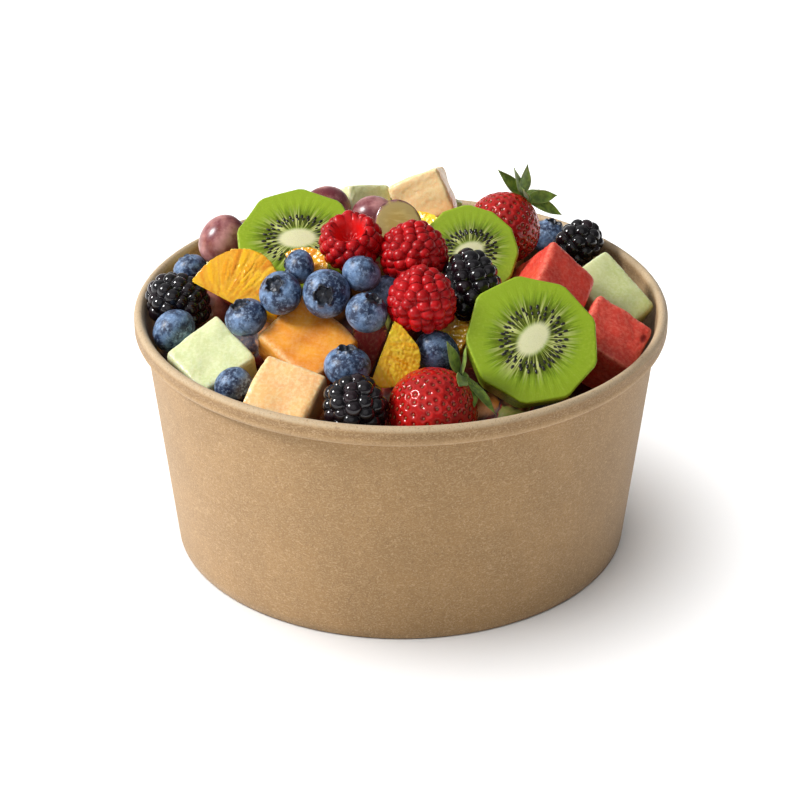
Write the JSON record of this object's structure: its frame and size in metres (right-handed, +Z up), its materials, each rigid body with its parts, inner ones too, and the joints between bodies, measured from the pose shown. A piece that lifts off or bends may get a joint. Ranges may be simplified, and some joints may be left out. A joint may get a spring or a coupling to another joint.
{
  "type": "paper bowl of mixed fruit",
  "caption": "Round tapered kraft paper take-away bowl, heaped above its rolled rim with berries, grapes, kiwi slices, orange segments and melon cubes.",
  "frame": {"origin": "middle of the circle on which the bowl stands", "axes": "+Z up along the bowl's axis, -Y towards the side that the picture shows, +X to its right"},
  "size_m": [0.165, 0.165, 0.112],
  "materials": {
    "kraft_paper": "uncoated kraft paperboard, finely fibrous",
    "bed_of_fruit": "juicy fruit of the layers below",
    "blueberry_skin": "waxy blue skin with a pale bloom",
    "bramble_drupelets": "glossy black drupelets",
    "raspberry_drupelets": "soft pinkish red drupelets",
    "strawberry_flesh": "glossy red skin with pale seeds",
    "calyx_leaf": "green leaves",
    "kiwi_flesh": "wet green flesh with dark seeds and a pale core",
    "orange_flesh": "wet translucent juice sacs",
    "cantaloupe_flesh": "wet pale orange melon flesh",
    "honeydew_flesh": "wet pale green melon flesh",
    "watermelon_flesh": "grainy wet red melon flesh",
    "grape_skin": "dusky purple-red skin"
  },
  "bodies": {
    "root": {"bowl_wall": "kraft_paper", "bowl_base": "kraft_paper", "fruit_bed": "bed_of_fruit", "blueberry_01": "blueberry_skin", "blueberry_02": "blueberry_skin", "blueberry_03": "blueberry_skin", "blueberry_04": "blueberry_skin", "blueberry_05": "blueberry_skin", "blueberry_06": "blueberry_skin", "blueberry_07": "blueberry_skin", "blueberry_08": "blueberry_skin", "blueberry_09": "blueberry_skin", "blueberry_10": "blueberry_skin", "blueberry_11": "blueberry_skin", "blueberry_12": "blueberry_skin", "blueberry_13": "blueberry_skin", "blueberry_14": "blueberry_skin", "blueberry_15": "blueberry_skin", "dark_bramble_berry_1": "bramble_drupelets", "dark_bramble_berry_2": "bramble_drupelets", "dark_bramble_berry_3": "bramble_drupelets", "dark_bramble_berry_4": "bramble_drupelets", "raspberry_1": "raspberry_drupelets", "raspberry_2": "raspberry_drupelets", "raspberry_3": "raspberry_drupelets", "strawberry_1": "strawberry_flesh", "strawberry_2": "strawberry_flesh", "strawberry_calyx_1": "calyx_leaf", "strawberry_calyx_2": "calyx_leaf", "kiwi_slice_1": "kiwi_flesh", "kiwi_slice_2": "kiwi_flesh", "kiwi_slice_3": "kiwi_flesh", "kiwi_slice_4": "kiwi_flesh", "orange_segment_1": "orange_flesh", "orange_segment_2": "orange_flesh", "orange_segment_3": "orange_flesh", "orange_segment_4": "orange_flesh", "orange_segment_5": "orange_flesh", "orange_segment_6": "orange_flesh", "cantaloupe_cube_1": "cantaloupe_flesh", "cantaloupe_cube_2": "cantaloupe_flesh", "cantaloupe_cube_3": "cantaloupe_flesh", "cantaloupe_cube_4": "cantaloupe_flesh", "cantaloupe_cube_5": "cantaloupe_flesh", "honeydew_cube_1": "honeydew_flesh", "honeydew_cube_2": "honeydew_flesh", "honeydew_cube_3": "honeydew_flesh", "honeydew_cube_4": "honeydew_flesh", "watermelon_cube_1": "watermelon_flesh", "watermelon_cube_2": "watermelon_flesh", "watermelon_cube_3": "watermelon_flesh", "watermelon_cube_4": "watermelon_flesh", "grape_1": "grape_skin", "grape_2": "grape_skin", "grape_3": "grape_skin", "grape_4": "grape_skin", "grape_5": "grape_skin", "grape_half": "grape_skin"}
  },
  "joints": []
}
